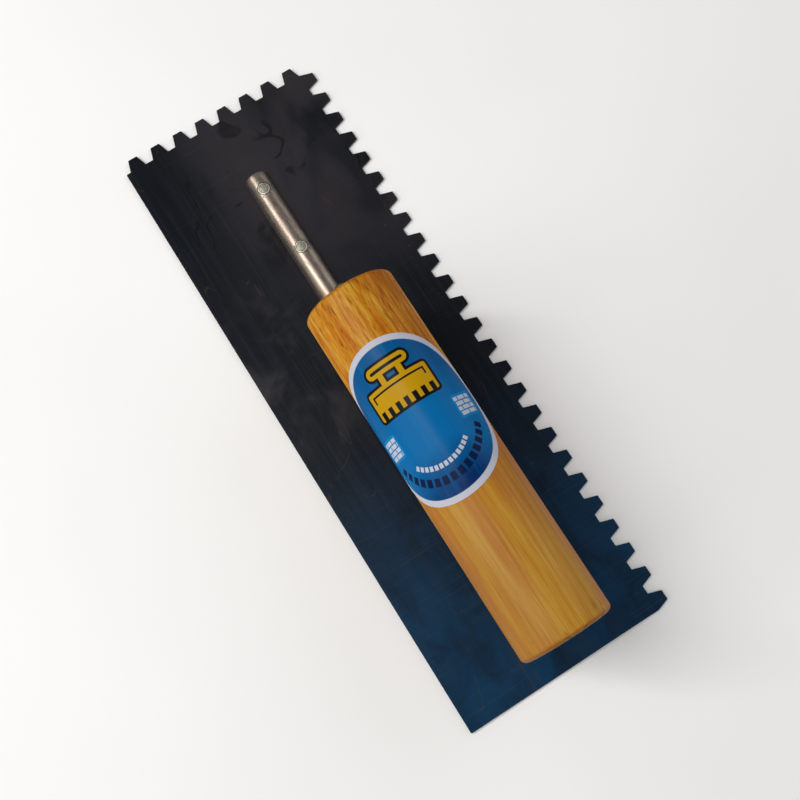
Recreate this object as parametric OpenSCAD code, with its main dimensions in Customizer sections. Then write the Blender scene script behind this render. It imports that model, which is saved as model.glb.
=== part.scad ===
// Notched trowel for spreading mortar and tile adhesive.
// The origin is the centre of the blade's underside. +Z is up, +Y points to the notched
// short end, and +X to the notched long side.

/* [Blade] */
// Length of the blade, from the tooth tips of the short end to the plain rear edge
blade_l = 270; // [230:1:360]
// Width of the blade, from the plain long edge to the tooth tips of the long side
blade_w = 90; // [75:1:130]
// Thickness of the blade's sheet
blade_t = 1.0; // [0.8:0.1:2]

/* [Notches] */
// Distance from one tooth to the next
tooth_pitch = 10.73; // [9:0.01:14]
// Width of a tooth at its tip
tooth_tip = 4; // [2.5:0.1:5]
// Depth of the notches
notch_depth = 5.2; // [3:0.1:6]
// How far each flank of a tooth leans, for each millimetre of its depth
flank_lean = 0.315; // [0.1:0.005:0.35]
// Flat left in the corner between the two rows of teeth
corner_flat = 0.4; // [0:0.1:2]
// Least width left beside the first tooth at the plain edge
edge_flat = 1.5; // [0.5:0.1:4]

/* [Spine bar] */
// Width of the half-round bar
bar_w = 10; // [8:0.5:16]
// Height of the bar's crown
bar_h = 4.5; // [4:0.1:5]
// Distance from the short end's tooth tips to the bar
bar_front_gap = 35.4; // [20:0.1:50]
// Distance from the bar to the blade's rear edge
bar_rear_gap = 39; // [20:0.1:60]

/* [Rivets] */
// Diameter of the rivets' shanks
rivet_d = 4; // [3:0.1:4.4]
// Diameter of the rivets' flush heads
rivet_head_d = 5.3; // [4.8:0.1:6]
// Height of the cone under each head in the bar
rivet_cone_h = 1.2; // [0.8:0.1:1.4]
// Distance from the bar's ends to the first and the last rivet
rivet_inset = 7.8; // [6:0.1:12]
// Play all round between a rivet and its hole
rivet_fit = 0.02; // [0.01:0.01:0.1]

/* [Neck] */
// Diameter of the neck at its bend
neck_d = 7; // [6:0.25:7]
// Diameter of the neck at its foot
neck_foot_d = 8; // [7:0.25:8.5]
// Bend radius of the neck, at the middle of the rod
neck_bend_r = 5.5; // [4.5:0.25:6]
// Distance from the neck's foot back to the handle's front face
neck_setback = 10.8; // [9:0.1:14]
// How far the bend reaches into the handle
bend_sink = 1.6; // [1:0.1:3]
// Length of the straight tang inside the handle
tang_l = 70; // [40:1:90]
// Diameter of the tang
tang_d = 6.5; // [5:0.1:6.5]
// Play all round between the tang and the handle
tang_fit = 0.05; // [0.02:0.01:0.15]
// Room left at the end of the tang's hole
tang_end_room = 0.5; // [0.2:0.1:3]

/* [Handle] */
// Diameter of the handle
handle_d = 36; // [28:0.5:42]
// Length of the handle
handle_l = 143; // [110:1:170]
// Height of the handle's axis above the blade
handle_lift = 43.5; // [38:0.5:55]
// Rounding of the handle's end edges
handle_round = 2; // [0.5:0.1:5]

/* [Label] */
// Length of the oval label along the handle
label_l = 63; // [40:1:80]
// Width of the label round the handle, measured flat
label_w = 57.5; // [30:0.5:70]
// Thickness of the label
label_t = 0.12; // [0.08:0.01:0.3]
// Distance from the handle's front face to the label
label_front_gap = 23.4; // [10:0.1:40]
// Roll of the label's middle round the handle, away from the top
label_roll = -15; // [-40:1:40]
// Thickness of the adhesive under the label
label_glue = 0.04; // [0.03:0.01:0.1]

/* [Hidden] */
$fn = 96;

// Notches
tooth_base = tooth_tip + 2 * notch_depth * flank_lean;
// A row takes one more tooth when this share of a pitch, or less, is wanting
count_slack = 0.02;
front_floor_y = blade_l / 2 - notch_depth;
side_floor_x = blade_w / 2 - notch_depth;
long_span = blade_l - notch_depth - tooth_base;
long_teeth = floor(long_span / tooth_pitch + count_slack) + 1;
short_span = blade_w - notch_depth - corner_flat - tooth_base - edge_flat;
short_teeth = floor(short_span / tooth_pitch + count_slack) + 1;

// Bar and its fixings: one even row, in which the neck's tenon takes the place of a rivet
bar_l = blade_l - bar_front_gap - bar_rear_gap;
bar_front_y = blade_l / 2 - bar_front_gap;
bar_crown_r = (bar_w * bar_w / 4 + bar_h * bar_h) / (2 * bar_h);
bar_top_z = blade_t + bar_h;
fixings = 7;
neck_place = 3;
rivet_places = [for (place = [1 : fixings]) if (place != neck_place) place];
fixing_pitch = (bar_l - 2 * rivet_inset) / (fixings - 1);
function fixing_y(place) = bar_front_y - rivet_inset - (place - 1) * fixing_pitch;
// How far a cut runs past the face that it opens, and a tenon into its rod
past = 1;

// Neck: its lean follows from the foot, the bend and the height of the handle's axis
neck_y = fixing_y(neck_place);
handle_front_y = neck_y - neck_setback;
handle_z = blade_t + handle_lift;
bend_run = neck_setback + bend_sink;
bend_rise = handle_lift - bar_h - neck_bend_r;
neck_lean = acos(neck_bend_r / norm([bend_run, bend_rise])) - atan2(bend_rise, bend_run);
riser_l = (bend_rise + neck_bend_r * sin(neck_lean)) / cos(neck_lean);
// How far the riser and the tang reach into the bend, and how far the riser stands proud there
neck_lap = 0.3;
riser_step = 0.05;
// How far the riser is drawn into the bar, whose crown then trims it
foot_sink = 2.8;
// Gap between the bar's crown and the neck's trimmed foot
foot_gap = 0.03;

// Label: columns of points round the handle, close together where the oval turns back
label_steps = 72;
label_last_turn = 88;
label_half_angle = label_w / handle_d * 180 / PI;
label_y = handle_front_y - label_front_gap - label_l / 2;

// ---------- Shapes used more than once ----------

// The bar's half-round solid, from its front end backwards, resting on the blade
module bar_solid(grow = 0) {
    intersection() {
        translate([0, bar_front_y, bar_top_z - bar_crown_r])
            rotate([90, 0, 0])
                cylinder(h = bar_l, r = bar_crown_r + grow);
        translate([-bar_w, bar_front_y - bar_l - past, blade_t])
            cube([2 * bar_w, bar_l + 2 * past, bar_h + past]);
    }
}

// A fixing drawn round its axis, as points [radius, height]: a flush cone in the sole, the
// shank, and for a rivet a cone that opens towards the bar's crown
module fixing_blank(top_widening, grow) {
    shank_r = rivet_d / 2 + grow;
    rotate_extrude()
        polygon([
            [0, 0],
            [rivet_head_d / 2 + grow, 0],
            [shank_r, blade_t],
            [shank_r, bar_top_z - rivet_cone_h],
            [shank_r + top_widening, bar_top_z + past],
            [0, bar_top_z + past]
        ]);
}

// A rivet before its head is ground off level with the bar's crown
module rivet_blank(grow = 0) {
    fixing_blank((rivet_head_d - rivet_d) / 2 * (1 + past / rivet_cone_h), grow);
}

// The neck's tenon, which ends inside the foot of its rod
module tenon_blank(grow = 0) {
    fixing_blank(0, grow);
}

module at_fixing(place) {
    translate([0, fixing_y(place), 0])
        children();
}

module fixing_holes() {
    for (place = rivet_places)
        at_fixing(place) rivet_blank(rivet_fit);
    at_fixing(neck_place) tenon_blank(rivet_fit);
}

// The forged neck: a riser that widens towards its foot, the bend, and the tang
module neck_shape(grow = 0, end_room = 0) {
    translate([0, handle_front_y - bend_sink + neck_lap, handle_z])
        rotate([90, 0, 0])
            cylinder(h = neck_lap + tang_l + end_room, d = tang_d + 2 * grow);
    translate([0, handle_front_y - bend_sink, handle_z - neck_bend_r])
        rotate([90, 0, 90])
            rotate(neck_lean) {
                rotate_extrude(angle = 90 - neck_lean)
                    translate([neck_bend_r, 0])
                        circle(d = neck_d + 2 * grow);
                translate([neck_bend_r, neck_lap, 0])
                    rotate([90, 0, 0])
                        cylinder(h = neck_lap + riser_l + foot_sink,
                                 d1 = neck_d + 2 * riser_step + 2 * grow,
                                 d2 = neck_foot_d + 2 * grow);
            }
}

// ---------- Sub-parts ----------

// One row of teeth, as points [along the edge, out from the notches' floor]
function tooth_row(first_root, count) = [
    for (k = [0 : count - 1])
        for (point = [
            [0, 0],
            [flank_lean * notch_depth, notch_depth],
            [flank_lean * notch_depth + tooth_tip, notch_depth],
            [tooth_base, 0]
        ])
            [first_root + k * tooth_pitch + point[0], point[1]]
];

// The long row ends with a full tooth at the rear edge, and the short row at the front corner
long_root = blade_l - tooth_base - (long_teeth - 1) * tooth_pitch;
short_root = blade_w - notch_depth - corner_flat - tooth_base - (short_teeth - 1) * tooth_pitch;
blade_outline = concat(
    [[-blade_w / 2, -blade_l / 2], [-blade_w / 2, front_floor_y]],
    [for (p = tooth_row(short_root, short_teeth)) [p[0] - blade_w / 2, front_floor_y + p[1]]],
    [[side_floor_x, front_floor_y]],
    [for (p = tooth_row(long_root, long_teeth)) [side_floor_x + p[1], blade_l / 2 - p[0]]]
);

module blade() {
    color("#24282c")
        difference() {
            linear_extrude(blade_t)
                polygon(blade_outline);
            fixing_holes();
        }
}

module spine_bar() {
    color("#8a8078")
        difference() {
            bar_solid();
            fixing_holes();
        }
}

// A rivet ends level with the bar's crown and with the sole
module rivet(number) {
    color("#a8a99c")
        intersection() {
            at_fixing(rivet_places[number - 1])
                rivet_blank();
            union() {
                bar_solid();
                translate([-bar_w / 2, -blade_l / 2, 0])
                    cube([bar_w, blade_l, blade_t]);
            }
        }
}

module neck() {
    color("#7d7871") {
        difference() {
            neck_shape();
            bar_solid(foot_gap);
        }
        at_fixing(neck_place)
            tenon_blank();
    }
}

// Half of the handle's section, from its axis out, with rounded end edges
module handle_profile() {
    handle_r = handle_d / 2;
    square([handle_r - handle_round, handle_l]);
    translate([0, handle_round])
        square([handle_r, handle_l - 2 * handle_round]);
    for (end = [handle_round, handle_l - handle_round])
        translate([handle_r - handle_round, end])
            circle(r = handle_round);
}

module handle() {
    color("#d08a2c")
        difference() {
            translate([0, handle_front_y, handle_z])
                rotate([90, 0, 0])
                    rotate_extrude()
                        handle_profile();
            neck_shape(tang_fit, tang_end_room);
        }
}

// A point on the handle's side: roll away from the top, distance along, height off the wood
function on_handle(roll, y, off) =
    let (r = handle_d / 2 + off)
    [r * sin(roll), y, handle_z + r * cos(roll)];

// Four points of the oval sticker where it is cut across, inner pair first
function label_column(turn) =
    let (
        roll = label_roll + label_half_angle * sin(turn),
        half = label_l / 2 * cos(turn),
        outside = label_glue + label_t
    )
    [
        on_handle(roll, label_y - half, label_glue),
        on_handle(roll, label_y + half, label_glue),
        on_handle(roll, label_y + half, outside),
        on_handle(roll, label_y - half, outside)
    ];

module label() {
    turn_step = 2 * label_last_turn / label_steps;
    points = [
        for (i = [0 : label_steps])
            for (p = label_column(i * turn_step - label_last_turn))
                p
    ];
    sides = [
        for (i = [0 : label_steps - 1])
            for (k = [0 : 3])
                [4 * i + k, 4 * i + (k + 1) % 4, 4 * i + 4 + (k + 1) % 4, 4 * i + 4 + k]
    ];
    last = 4 * label_steps;
    color("#2b6aa8")
        polyhedron(points, concat([[3, 2, 1, 0]], sides, [[last, last + 1, last + 2, last + 3]]));
}

blade();
spine_bar();
rivet(1);  // rivet_1
rivet(2);  // rivet_2
rivet(3);  // rivet_3
rivet(4);  // rivet_4
rivet(5);  // rivet_5
rivet(6);  // rivet_6
neck();
handle();
label();
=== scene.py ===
"""Notched trowel: the visible pieces, built around the fixed frame that holds their sizes."""

import math

import bmesh
import bpy
from bpy.props import FloatProperty, FloatVectorProperty, IntProperty, PointerProperty
from mathutils import Matrix, Vector


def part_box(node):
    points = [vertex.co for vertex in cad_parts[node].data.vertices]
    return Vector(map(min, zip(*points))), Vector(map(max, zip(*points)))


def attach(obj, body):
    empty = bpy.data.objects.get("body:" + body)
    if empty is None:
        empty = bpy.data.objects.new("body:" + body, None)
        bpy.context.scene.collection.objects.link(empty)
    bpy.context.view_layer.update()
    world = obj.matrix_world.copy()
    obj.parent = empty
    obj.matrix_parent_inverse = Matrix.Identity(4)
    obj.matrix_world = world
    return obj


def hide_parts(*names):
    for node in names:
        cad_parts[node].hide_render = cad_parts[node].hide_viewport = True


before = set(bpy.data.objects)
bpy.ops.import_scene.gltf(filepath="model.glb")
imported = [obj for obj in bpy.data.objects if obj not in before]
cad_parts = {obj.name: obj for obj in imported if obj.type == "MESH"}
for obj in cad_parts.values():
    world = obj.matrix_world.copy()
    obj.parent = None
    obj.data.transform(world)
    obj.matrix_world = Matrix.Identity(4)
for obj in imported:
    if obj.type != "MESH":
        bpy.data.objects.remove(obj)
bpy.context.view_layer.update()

bl_info = {
    "name": "Notched Trowel",
    "version": (1, 0, 0),
    "blender": (4, 5, 0),
    "location": "3D View > Sidebar > Trowel",
    "description": "Builds a notched trowel: blade, half-round bar, rivets, neck, handle, label",
    "category": "Add Mesh",
}

MM = 0.001


# ---------- Sizes taken from the frame ----------

def middle_of(node):
    """The middle of a frame node's box."""
    low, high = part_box(node)
    return (low + high) / 2


BLADE_LOW, BLADE_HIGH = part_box("blade")
BAR_LOW, BAR_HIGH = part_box("spine_bar")
HANDLE_LOW, HANDLE_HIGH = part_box("handle")
HANDLE_MID = middle_of("handle")
TANG_END_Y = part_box("neck")[0].y
RIVET_NODES = ["rivet_" + str(number) for number in range(1, 7)]
FIRST_FIXING_Y = middle_of(RIVET_NODES[0]).y
LAST_FIXING_Y = middle_of(RIVET_NODES[-1]).y
# One even row of fixings: six rivets, and the neck's tenon in one place, counted from 0
FIXINGS = 7
NECK_PLACE = 2
FIXING_PITCH = (FIRST_FIXING_Y - LAST_FIXING_Y) / (FIXINGS - 1)
FIXING_ROW = {"First fixing": FIRST_FIXING_Y, "Fixing pitch": FIXING_PITCH, "Fixings": FIXINGS}
BAR_WIDTH = BAR_HIGH.x - BAR_LOW.x
BAR_HEIGHT = BAR_HIGH.z - BAR_LOW.z
CROWN_RADIUS = (BAR_WIDTH * BAR_WIDTH / 4 + BAR_HEIGHT * BAR_HEIGHT) / (2 * BAR_HEIGHT)
CROWN_AXIS_Z = BAR_HIGH.z - CROWN_RADIUS
HANDLE_RADIUS = (HANDLE_HIGH.z - HANDLE_LOW.z) / 2
# What keeps two faces from lying in exactly the same place
HAIR = 0.02 * MM


def srgb(code):
    """The linear colour of a six-figure paint code, with full opacity."""
    parts = [int(code[i:i + 2], 16) / 255 for i in (0, 2, 4)]
    return tuple(p / 12.92 if p <= 0.04045 else ((p + 0.055) / 1.055) ** 2.4 for p in parts) + (1.0,)


# ---------- Nodes written as expressions ----------

def first(operation):
    """A method that adds a Math node with the value first."""
    return lambda self, *others: self.graph.math(operation, self, *others)


def second(operation):
    """The reflected form, with the value after a plain number."""
    return lambda self, other: self.graph.math(operation, other, self)


class Value:
    """One output socket. Arithmetic on it adds Math nodes to its tree."""

    __add__ = first("ADD")
    __radd__ = second("ADD")
    __sub__ = first("SUBTRACT")
    __rsub__ = second("SUBTRACT")
    __mul__ = first("MULTIPLY")
    __rmul__ = second("MULTIPLY")
    __truediv__ = first("DIVIDE")
    __rtruediv__ = second("DIVIDE")
    __pow__ = first("POWER")
    __mod__ = first("FLOORED_MODULO")
    __lt__ = first("LESS_THAN")
    __gt__ = first("GREATER_THAN")
    __abs__ = first("ABSOLUTE")
    least = first("MINIMUM")
    most = first("MAXIMUM")
    floor = first("FLOOR")
    root = first("SQRT")
    sin = first("SINE")
    cos = first("COSINE")

    def __init__(self, graph, socket):
        self.graph = graph
        self.socket = socket

    def __neg__(self):
        return self * -1.0

    def other(self, name):
        """Another output of the same node."""
        return Value(self.graph, self.socket.node.outputs[name])

    def clamped(self):
        return self.least(1.0).most(0.0)

    def rise(self, low, high):
        """0 below low, 1 above high, and a smooth step between them. low may be above high."""
        if low > high:
            return 1.0 - self.rise(high, low)
        return self.graph.add(
            "ShaderNodeMapRange",
            {"interpolation_type": "SMOOTHSTEP"},
            {"Value": self, "From Min": low, "From Max": high},
        )


class Graph:
    """Adds nodes to one tree: settings first, then the values or links of the sockets."""

    def __init__(self, tree):
        self.tree = tree

    def add(self, kind, settings=None, sockets=None, out=0):
        node = self.tree.nodes.new(kind)
        for name, value in (settings or {}).items():
            if name == "stops":
                set_stops(node.color_ramp, value)
            else:
                setattr(node, name, value)
        for name, value in (sockets or {}).items():
            self.plug(node.inputs[name], value)
        return Value(self, node.outputs[out])

    def plug(self, socket, value):
        if isinstance(value, Value):
            self.tree.links.new(value.socket, socket)
        else:
            socket.default_value = value

    def math(self, operation, *values):
        return self.add("ShaderNodeMath", {"operation": operation}, dict(enumerate(values)))

    def vector(self, x, y, z):
        return self.add("ShaderNodeCombineXYZ", None, {0: x, 1: y, 2: z})

    def split(self, vector):
        """The three parts of a vector."""
        x = self.add("ShaderNodeSeparateXYZ", None, {0: vector})
        return x, x.other("Y"), x.other("Z")


def set_stops(ramp, stops):
    """Gives a colour ramp its stops: position and colour."""
    while len(ramp.elements) < len(stops):
        ramp.elements.new(1.0)
    for element, (position, color) in zip(ramp.elements, stops):
        element.position = position
        element.color = color


# ---------- Shapes grown by Geometry Nodes ----------

class ShapeTree(Graph):
    """A Geometry Nodes tree with named sizes, which ends as real geometry with its material."""

    def __init__(self, name, sizes):
        super().__init__(bpy.data.node_groups.new(name, "GeometryNodeTree"))
        face = self.tree.interface
        for label, value in sizes.items():
            kind = "NodeSocketInt" if isinstance(value, int) else "NodeSocketFloat"
            face.new_socket(name=label, in_out="INPUT", socket_type=kind)
        face.new_socket(name="Material", in_out="INPUT", socket_type="NodeSocketMaterial")
        face.new_socket(name="Shape", in_out="OUTPUT", socket_type="NodeSocketGeometry")
        self.sizes = dict(sizes)
        self.inputs = self.tree.nodes.new("NodeGroupInput")

    def size(self, label):
        return Value(self, self.inputs.outputs[label])

    def index(self):
        return self.add("GeometryNodeInputIndex")

    def position(self):
        return self.split(self.add("GeometryNodeInputPosition"))

    def place(self, geometry, x, y, z):
        """Moves every point to what the rule says."""
        return self.add("GeometryNodeSetPosition", None,
                        {"Geometry": geometry, "Position": self.vector(x, y, z)})

    def join(self, *parts):
        """All parts as one geometry, in this order."""
        joined = self.add("GeometryNodeJoinGeometry")
        for part in reversed(parts):
            self.tree.links.new(part.socket, joined.socket.node.inputs[0])
        return joined

    def merged(self, geometry):
        return self.add("GeometryNodeMergeByDistance", None,
                        {"Geometry": geometry, "Distance": 0.001 * MM})

    def cut(self, body, tool):
        return self.add("GeometryNodeMeshBoolean", {"operation": "DIFFERENCE", "solver": "EXACT"},
                        {0: body, 1: tool})

    def fuse(self, *parts):
        whole = self.add("GeometryNodeMeshBoolean", {"operation": "UNION", "solver": "EXACT"})
        for part in parts:
            self.tree.links.new(part.socket, whole.socket.node.inputs[1])
        return whole

    def row(self):
        """Points at the fixings, from the first one backwards along the bar."""
        return self.add("GeometryNodeMeshLine", None, {
            "Count": self.size("Fixings"),
            "Start Location": self.vector(0.0, self.size("First fixing"), 0.0),
            "Offset": self.vector(0.0, -self.size("Fixing pitch"), 0.0),
        })

    def ring(self, points, radius):
        """A closed curve with this many points."""
        return self.add("GeometryNodeCurvePrimitiveCircle", {"mode": "RADIUS"},
                        {"Resolution": points, "Radius": radius})

    def repeat(self, points, shape, chosen=True):
        copies = self.add("GeometryNodeInstanceOnPoints", None,
                          {"Points": points, "Instance": shape, "Selection": chosen})
        return self.add("GeometryNodeRealizeInstances", None, {0: copies})

    def tube(self, around, along, cap_rings=1, fill="NGON"):
        """A closed tube on the Z axis: radius 1, and 1 long, with its middle at the origin."""
        return self.add("GeometryNodeMeshCylinder", {"fill_type": fill}, {
            "Vertices": around,
            "Side Segments": along,
            "Fill Segments": cap_rings,
            "Radius": 1.0,
            "Depth": 1.0,
        })

    def grow(self, name, geometry, material):
        """Ends the tree, runs it and returns the result as a plain mesh object."""
        real = self.add("GeometryNodeRealizeInstances", None, {0: geometry})
        done = self.add("GeometryNodeSetMaterial", None,
                        {"Geometry": real, "Material": self.size("Material")})
        out = self.tree.nodes.new("NodeGroupOutput")
        self.tree.links.new(done.socket, out.inputs[0])
        piece = new_piece(name, bpy.data.meshes.new(name + "_host"))
        modifier = piece.modifiers.new("Shape", "NODES")
        modifier.node_group = self.tree
        values = {**self.sizes, "Material": material}
        for item in self.tree.interface.items_tree:
            if item.in_out == "INPUT":
                modifier[item.identifier] = values[item.name]
        make_plain(piece)
        outward(piece.data)
        return piece


def new_piece(name, data):
    """A new object in the scene, at the origin."""
    piece = bpy.data.objects.new(name, data)
    bpy.context.scene.collection.objects.link(piece)
    return piece


def make_plain(piece):
    """Turns what the modifiers make into the object's own mesh."""
    depsgraph = bpy.context.evaluated_depsgraph_get()
    mesh = bpy.data.meshes.new_from_object(
        piece.evaluated_get(depsgraph), preserve_all_data_layers=True, depsgraph=depsgraph)
    mesh.name = piece.name + "_mesh"
    piece.modifiers.clear()
    piece.data = mesh
    if not mesh.polygons:
        raise RuntimeError(piece.name + " came out empty")


def soften(piece, width, angle):
    """Breaks the sharp edges of a piece."""
    bevel = piece.modifiers.new("Edges", "BEVEL")
    bevel.width = width
    bevel.segments = 1
    bevel.limit_method = "ANGLE"
    bevel.angle_limit = angle
    make_plain(piece)


def smooth(piece, angle):
    """Shades faces as one surface where they meet at less than the angle."""
    mesh = piece.data
    mesh.polygons.foreach_set("use_smooth", [True] * len(mesh.polygons))
    mesh.set_sharp_from_angle(angle=angle)
    mesh.update()


def outward(mesh):
    """Turns every face outwards, after doubles are merged."""
    work = bmesh.new()
    work.from_mesh(mesh)
    bmesh.ops.remove_doubles(work, verts=work.verts, dist=0.0005 * MM)
    bmesh.ops.recalc_face_normals(work, faces=work.faces)
    work.to_mesh(mesh)
    work.free()


def skin(work, a, b):
    """Faces between two closed rings of points. A ring of one point is a pole."""
    around = max(len(a), len(b))
    for k in range(around):
        n = (k + 1) % around
        corners = [a[k % len(a)], a[n % len(a)], b[n % len(b)], b[k % len(b)]]
        work.faces.new(list(dict.fromkeys(corners)))


def piece_from(work, name, material):
    """Ends a hand-built mesh and returns it as an object with its material."""
    mesh = bpy.data.meshes.new(name + "_mesh")
    work.to_mesh(mesh)
    work.free()
    mesh.materials.append(material)
    return new_piece(name, mesh)


def settle(piece, seam, node_names):
    """Shades a finished piece, fixes it to the body and hides the frame nodes it stands for."""
    smooth(piece, math.radians(seam))
    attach(piece, "root")
    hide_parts(*node_names)


# ---------- Finishes ----------

class Finish(Graph):
    """A material with one main shader. Places are in millimetres."""

    def __init__(self, name, **constants):
        self.material = bpy.data.materials.new(name)
        self.material.use_nodes = True
        super().__init__(self.material.node_tree)
        self.shader = self.tree.nodes["Principled BSDF"]
        self.feed(**constants)

    def feed(self, **sockets):
        """Sets or links sockets of the main shader, with _ for a space in their names."""
        for name, value in sockets.items():
            self.plug(self.shader.inputs[name.replace("_", " ")], value)

    def place(self, scale=(1.0, 1.0, 1.0), shift=(0.0, 0.0, 0.0)):
        """Object coordinates in millimetres, moved by shift and then stretched by scale."""
        spot = self.add("ShaderNodeTexCoord", None, None, "Object")
        moved = self.add("ShaderNodeVectorMath", {"operation": "MULTIPLY_ADD"},
                         {0: spot, 1: (1 / MM,) * 3, 2: shift})
        return self.add("ShaderNodeVectorMath", {"operation": "MULTIPLY"}, {0: moved, 1: scale})

    def noise(self, vector, size, detail, rough, bend=0.0):
        """Noise from 0 to 1 whose blots are about size across."""
        return self.add("ShaderNodeTexNoise", None, {
            "Vector": vector, "Scale": 1.0 / size, "Detail": detail,
            "Roughness": rough, "Distortion": bend,
        })

    def grain(self, size, detail, rough, bend=0.0, pull=1.0, shift=(0.0, 0.0, 0.0)):
        """Noise across the piece, with blots drawn out lengthwise where pull is under 1."""
        return self.noise(self.place((1.0, pull, 1.0), shift), size, detail, rough, bend)

    def spots(self, vector, size):
        """Distance to the nearest of scattered points, as a share of their spacing."""
        return self.add("ShaderNodeTexVoronoi", {"feature": "F1"},
                        {"Vector": vector, "Scale": 1.0 / size})

    def mix(self, amount, a, b):
        """A colour from a to b."""
        return self.add("ShaderNodeMix", {"data_type": "RGBA"}, {0: amount, 6: a, 7: b}, 2)

    def layers(self, color, *layers):
        """Lays one colour after another over the first: each layer is its amount and its colour."""
        for amount, tone in layers:
            color = self.mix(amount, color, tone)
        return color

    def ramp(self, value, *stops):
        return self.add("ShaderNodeValToRGB", {"stops": stops}, {0: value})

    def bump(self, height, strength, depth):
        """A relief: depth is what a height of 1 stands for, in metres."""
        return self.add("ShaderNodeBump", None,
                        {"Height": height, "Strength": strength, "Distance": depth})


def blade_finish(tones):
    """Blued spring steel: rolled lengthwise, faintly scratched and stained, with specks of rust."""
    look = Finish("blued_steel", Metallic=0.5, Specular_IOR_Level=0.2)
    x, y = look.split(look.place())[:2]
    lines = look.grain(0.5, 4.0, 0.72, pull=0.008)
    bands = look.grain(7.0, 2.0, 0.5, pull=0.02)
    clouds = look.grain(38.0, 3.0, 0.55, 0.5, pull=0.6)
    haze = look.grain(15.0, 4.0, 0.6, 0.8, pull=0.5, shift=(70.0, 12.0, 0.0))
    cross = look.noise(look.place((0.012, 1.0, 1.0)), 0.6, 3.0, 0.7)
    # Large areas of painted light: painted sheen in front and beside the handle, and a painted blue
    # reflection behind
    rear = (-y).rise(5.0, 128.0)
    front_sheen = y.rise(0.0, 100.0) * x.rise(-38.0, 2.0) * clouds.rise(0.25, 0.55)
    handle_side_sheen = look.grain(24.0, 3.0, 0.6, 0.6, pull=0.8, shift=(26.0, -14.0, 0.0))
    handle_side_sheen = handle_side_sheen.rise(0.46, 0.7) * x.rise(-8.0, -20.0) * y.rise(-30.0, 5.0) * y.rise(75.0, 40.0)
    # Marks: curled and straight scratches, oily rings near the front, specks, and crosswise hatching
    # whose colour is a painted reflection, strongest at the rear
    wander = look.grain(24.0, 3.0, 0.5, 1.3, pull=0.3, shift=(0.0, 31.0, 0.0))
    curl = abs(wander - 0.5).rise(0.006, 0.0015) * haze.rise(0.5, 0.62)
    oil = look.grain(30.0, 2.0, 0.5, 0.9, pull=0.7, shift=(11.0, 7.0, 0.0))
    stain = abs(oil - 0.47).rise(0.02, 0.008) * haze.rise(0.5, 0.36) * y.rise(40.0, 90.0)
    score = look.grain(0.9, 1.0, 0.5, pull=0.004, shift=(0.4, 0.0, 0.0))
    score = score.rise(0.735, 0.765) * bands.rise(0.4, 0.6)
    speck = look.spots(look.place((1.0, 0.8, 1.0)), 8.0).rise(0.045, 0.02)
    speck = speck * clouds.rise(0.42, 0.6)
    hatching_and_glare = cross.rise(0.55, 0.75) * (0.2 + 0.8 * rear + 0.35 * front_sheen)
    color = look.layers(
        tones.blade,
        (clouds.rise(0.35, 0.7) * 0.6, tones.blade_haze),
        # Painted sheen, in front and beside the handle
        (front_sheen, tones.blade_warm),
        (handle_side_sheen * 0.75, tones.blade_warm),
        # Painted blue reflection at the rear
        (rear * (0.45 + 0.55 * haze.rise(0.3, 0.65)), tones.blade_rear),
        (lines.rise(0.46, 0.76) * 0.55, tones.blade_line),
        (bands.rise(0.52, 0.7) * 0.25, tones.blade_line),
        (curl * 0.4, tones.scratch),
        (stain * 0.5, tones.blade_stain),
        (score * 0.5, tones.scratch),
        (speck * 0.8, tones.rust),
        # Painted reflection: bluish crosswise hatching
        (hatching_and_glare * 0.3, tones.blade_hatch),
    )
    rough = 0.23 + 0.1 * lines + 0.1 * haze + 0.08 * hatching_and_glare + 0.25 * speck - 0.05 * stain
    relief = lines * 0.7 + hatching_and_glare * 0.25 - score * 0.8 + curl * 0.3 - speck * 0.8
    look.feed(Base_Color=color, Roughness=rough, Normal=look.bump(relief, 0.3, 0.012 * MM))
    return look.material


def bare_steel(name, color_light, color_dark, tones, grain_size, roughness):
    """Bare steel: mottled, with lengthwise scratches, small pits, and chips beside the fixings."""
    look = Finish(name, Metallic=0.92)
    x, y = look.split(look.place())[:2]
    mottle = look.grain(grain_size, 5.0, 0.65, 0.3, pull=0.22)
    broad = look.grain(5.0, 2.0, 0.5, pull=0.2, shift=(3.0, 0.0, 0.0))
    lines = look.grain(0.3, 3.0, 0.7, pull=0.04)
    grit = look.grain(0.35, 2.0, 0.6)
    sparse = look.grain(2.6, 2.0, 0.5)
    pits = look.spots(look.place((1.0, 0.5, 1.0)), 1.3).rise(0.17, 0.09) * sparse.rise(0.5, 0.62)
    dash = lines.rise(0.66, 0.74) * sparse.rise(0.5, 0.38)
    # Chipped steel beside each fixing, by the distance to the nearest one
    pitch = FIXING_PITCH / MM
    off = (((y - FIRST_FIXING_Y / MM) / pitch + 0.5) % 1.0 - 0.5) * pitch
    around = (x * x + off * off).root()
    chips = look.grain(0.9, 3.0, 0.7, 0.9, pull=0.8, shift=(0.0, 0.0, 9.0))
    chips = abs(chips - 0.5).rise(0.03, 0.01) * around.rise(4.4, 3.2) * x.rise(-2.0, 0.5)
    color = look.layers(
        color_dark,
        (mottle.rise(0.3, 0.6), color_light),
        (broad.rise(0.42, 0.66) * 0.4, tones.bar_stain),
        ((pits + dash * 0.45 + chips).clamped() * 0.75, tones.pit),
    )
    rough = roughness + 0.06 * mottle + 0.2 * pits + 0.05 * broad
    relief = mottle * 0.3 + lines * 0.45 + grit * 0.5 - pits * 1.2 - dash * 0.5 - chips
    look.feed(Base_Color=color, Roughness=rough, Normal=look.bump(relief, 0.7, 0.02 * MM))
    return look.material


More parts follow.
